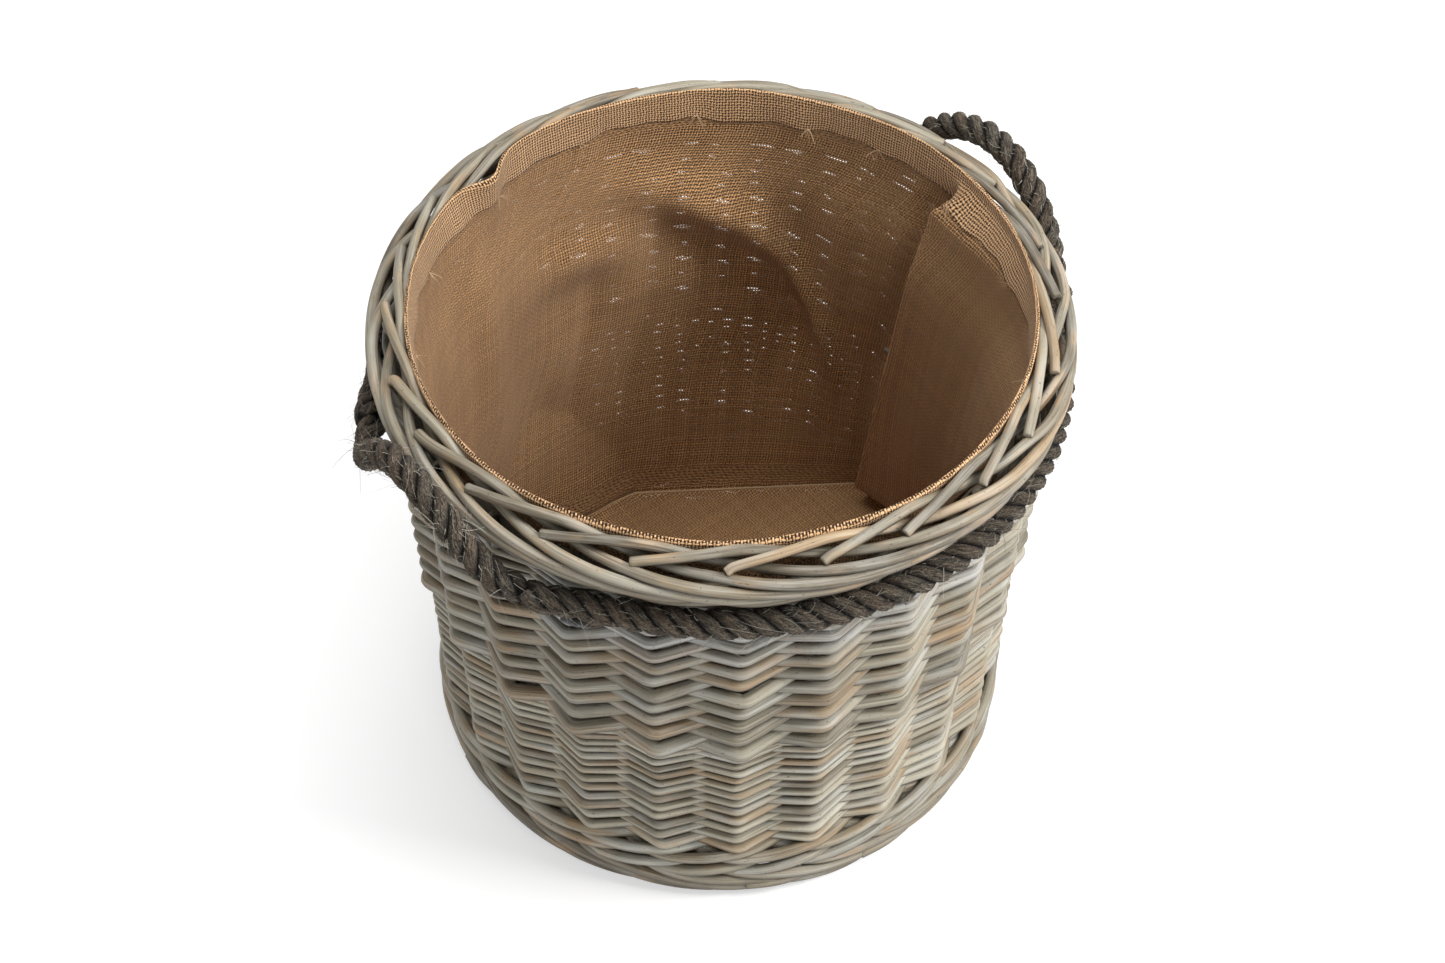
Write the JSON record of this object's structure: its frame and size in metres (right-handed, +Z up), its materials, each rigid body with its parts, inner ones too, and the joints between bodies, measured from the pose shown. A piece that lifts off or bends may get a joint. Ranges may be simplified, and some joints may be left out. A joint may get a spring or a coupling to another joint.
{
  "type": "round woven willow basket with rope handles and cloth lining",
  "caption": "Round grey-washed willow basket with a plaited rod border, a dark laid rope under it forming two loop handles, and an open hessian lining.",
  "frame": {"origin": "centre of the foot, on the surface it stands on", "axes": "+Z up through the mouth; +X towards the right-hand rope handle, -X towards the left-hand one"},
  "size_m": [0.5629, 0.5172, 0.4468],
  "materials": {
    "willow_rod": "dry grey-washed willow rod",
    "willow_weave": "dry grey-washed willow weave",
    "willow_border": "dry grey-washed willow, thick rods",
    "rope": "dark laid natural-fibre rope, hairy",
    "tape": "black cloth tape",
    "hessian": "open plain-weave hessian",
    "hessian_hem": "hessian, folded double and stitched"
  },
  "bodies": {
    "basket": {"stake_01": "willow_rod", "stake_02": "willow_rod", "stake_03": "willow_rod", "stake_04": "willow_rod", "stake_05": "willow_rod", "stake_06": "willow_rod", "stake_07": "willow_rod", "stake_08": "willow_rod", "stake_09": "willow_rod", "stake_10": "willow_rod", "stake_11": "willow_rod", "stake_12": "willow_rod", "stake_13": "willow_rod", "stake_14": "willow_rod", "stake_15": "willow_rod", "stake_16": "willow_rod", "stake_17": "willow_rod", "stake_18": "willow_rod", "stake_19": "willow_rod", "stake_20": "willow_rod", "stake_21": "willow_rod", "stake_22": "willow_rod", "stake_23": "willow_rod", "stake_24": "willow_rod", "base_sticks_under": "willow_rod", "base_sticks_over": "willow_rod", "foot_border": "willow_weave", "foot_wale": "willow_weave", "lower_weave": "willow_weave", "upper_weave": "willow_weave", "groove_weave": "willow_weave", "top_wale": "willow_weave", "border_lower_tier": "willow_border", "border_upper_tier": "willow_border", "base_weave": "willow_weave", "liner_wall": "hessian", "liner_floor": "hessian", "liner_hem": "hessian_hem", "rope_band_front": "rope", "rope_band_back": "rope", "rope_end_binding": "tape"},
    "right_handle": {"handle_rope_right": "rope"},
    "left_handle": {"handle_rope_left": "rope"}
  },
  "joints": [
    {"name": "right_handle_swing", "type": "hinge", "parent": "basket", "child": "right_handle", "pos_m": [0.2462, 0, 0.38025], "axis": [0, 1, 0], "range_deg": [0, 110]},
    {"name": "left_handle_swing", "type": "hinge", "parent": "basket", "child": "left_handle", "pos_m": [-0.2462, 0, 0.38025], "axis": [0, -1, 0], "range_deg": [0, 110]}
  ]
}
